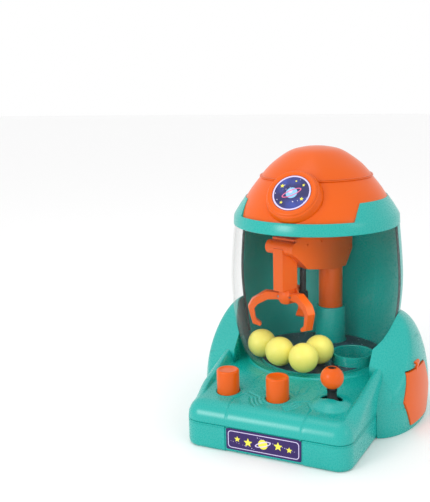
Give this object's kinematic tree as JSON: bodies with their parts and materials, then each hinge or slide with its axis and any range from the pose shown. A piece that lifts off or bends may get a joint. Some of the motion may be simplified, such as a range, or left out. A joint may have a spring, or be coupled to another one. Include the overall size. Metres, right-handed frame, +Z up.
{
  "type": "toy claw crane machine",
  "caption": "Tabletop rocket-shaped claw crane with a clear window, turning boom, three-finger claw, push buttons, joystick, side pods and a hinged prize door.",
  "frame": {"origin": "on the upright axis of the round body, at the flat underside", "axes": "+Z up, the controls face -Y, +X is the player's right"},
  "size_m": [0.2289, 0.2354, 0.2675],
  "materials": {
    "teal_abs": "moulded gloss",
    "orange_abs": "moulded gloss",
    "dark_abs": "moulded satin",
    "white_abs": "moulded satin",
    "clear_ps": "clear moulded",
    "print_film": "printed film",
    "ball_plastic": "moulded satin",
    "rubber": "matt",
    "zinc_steel": "zinc plated",
    "spring_steel": "drawn wire",
    "board": "laminate",
    "cell_wrap": "wrapped"
  },
  "bodies": {
    "base": {"base_tray": "teal_abs", "rubber_feet": "rubber", "bottom_screws": "zinc_steel", "name_plate": "print_film", "console_deck": "teal_abs", "play_floor": "teal_abs", "floor_sticker": "print_film", "chute_ring": "teal_abs", "ball_ramp": "teal_abs", "left_pod": "teal_abs", "right_pod": "teal_abs", "door_hinge_pin": "zinc_steel", "back_shell": "teal_abs", "window": "clear_ps", "window_seal_left": "dark_abs", "window_seal_right": "dark_abs", "collar": "teal_abs", "nose_cone": "orange_abs", "nose_tip": "orange_abs", "porthole_boss": "orange_abs", "porthole_sticker": "print_film", "column_tube": "teal_abs", "drive_box": "white_abs", "drive_motor": "zinc_steel", "guide_post": "zinc_steel", "control_board": "board", "board_posts": "white_abs", "spring_seats": "white_abs", "switches": "dark_abs", "joystick_pin": "zinc_steel", "joystick_bracket": "dark_abs", "stick_switches": "dark_abs", "battery_box": "white_abs", "battery_cells": "cell_wrap", "battery_contacts": "zinc_steel", "power_switch_body": "dark_abs", "speaker": "dark_abs", "prize_balls": "ball_plastic", "button_spring_left": "spring_steel", "button_spring_middle": "spring_steel"},
    "lift": {"lift_sleeve": "white_abs"},
    "arm": {"arm_tube": "orange_abs", "boom_left": "orange_abs", "boom_right": "orange_abs", "boom_screws": "zinc_steel", "claw_carrier": "orange_abs", "claw_hub": "orange_abs", "finger_pins": "zinc_steel"},
    "puller": {"claw_rod": "dark_abs"},
    "claw_1": {"finger_1": "orange_abs"},
    "claw_2": {"finger_2": "orange_abs"},
    "claw_3": {"finger_3": "orange_abs"},
    "door": {"prize_door": "orange_abs"},
    "button_a": {"button_left": "orange_abs"},
    "button_b": {"button_middle": "orange_abs"},
    "joystick": {"joystick_ball": "orange_abs", "joystick_stem": "dark_abs"},
    "battery_lid": {"battery_door": "teal_abs", "battery_door_screw": "zinc_steel"},
    "switch_knob": {"power_slider": "dark_abs"}
  },
  "joints": [
    {"name": "arm_lift", "type": "slide", "parent": "base", "child": "lift", "axis": [0, 0, 1], "range_m": [0, 0.014]},
    {"name": "arm_turn", "type": "hinge", "parent": "lift", "child": "arm", "pos_m": [-0.0015, 0.054, 0.1], "axis": [0, 0, 1], "range_deg": [-12, 48]},
    {"name": "claw_pull", "type": "slide", "parent": "arm", "child": "puller", "axis": [0, 0, 1], "range_m": [0, 0.005]},
    {"name": "claw_1_close", "type": "hinge", "parent": "arm", "child": "claw_1", "pos_m": [-0.03278, -0.0229, 0.117], "axis": [0.4226, -0.9063, 0], "range_deg": [0, 18]},
    {"name": "claw_2_close", "type": "hinge", "parent": "arm", "child": "claw_2", "pos_m": [-0.01553, -0.02441, 0.117], "axis": [0.5736, 0.8192, 0], "range_deg": [0, 18]},
    {"name": "claw_3_close", "type": "hinge", "parent": "arm", "child": "claw_3", "pos_m": [-0.02285, -0.00872, 0.117], "axis": [-0.9962, 0.0872, 0], "range_deg": [0, 18]},
    {"name": "door_swing", "type": "hinge", "parent": "base", "child": "door", "pos_m": [0.1074, -0.019, 0.0614], "axis": [0, -1, 0], "range_deg": [0, 75]},
    {"name": "button_left_press", "type": "slide", "parent": "base", "child": "button_a", "axis": [0, 0, -1], "range_m": [0, 0.004], "stiffness_N_per_m": 150, "springref_m": -0.004, "deforming": ["button_spring_left"]},
    {"name": "button_middle_press", "type": "slide", "parent": "base", "child": "button_b", "axis": [0, 0, -1], "range_m": [0, 0.004], "stiffness_N_per_m": 150, "springref_m": -0.004, "deforming": ["button_spring_middle"]},
    {"name": "joystick_tilt", "type": "hinge", "parent": "base", "child": "joystick", "pos_m": [0.051, -0.1065, 0.04], "axis": [0, 1, 0], "range_deg": [-16, 16], "stiffness_Nm_per_rad": 0.05},
    {"name": "battery_lid_off", "type": "slide", "parent": "base", "child": "battery_lid", "axis": [0, 0, -1], "range_m": [0, 0.015]},
    {"name": "power_slide", "type": "slide", "parent": "base", "child": "switch_knob", "axis": [1, 0, 0], "range_m": [0, 0.008]}
  ],
  "couplings": [
    {"joint": "claw_1_close", "follows": "claw_pull", "rad_per_m": 62.769},
    {"joint": "claw_2_close", "follows": "claw_pull", "rad_per_m": 62.769},
    {"joint": "claw_3_close", "follows": "claw_pull", "rad_per_m": 62.769}
  ]
}
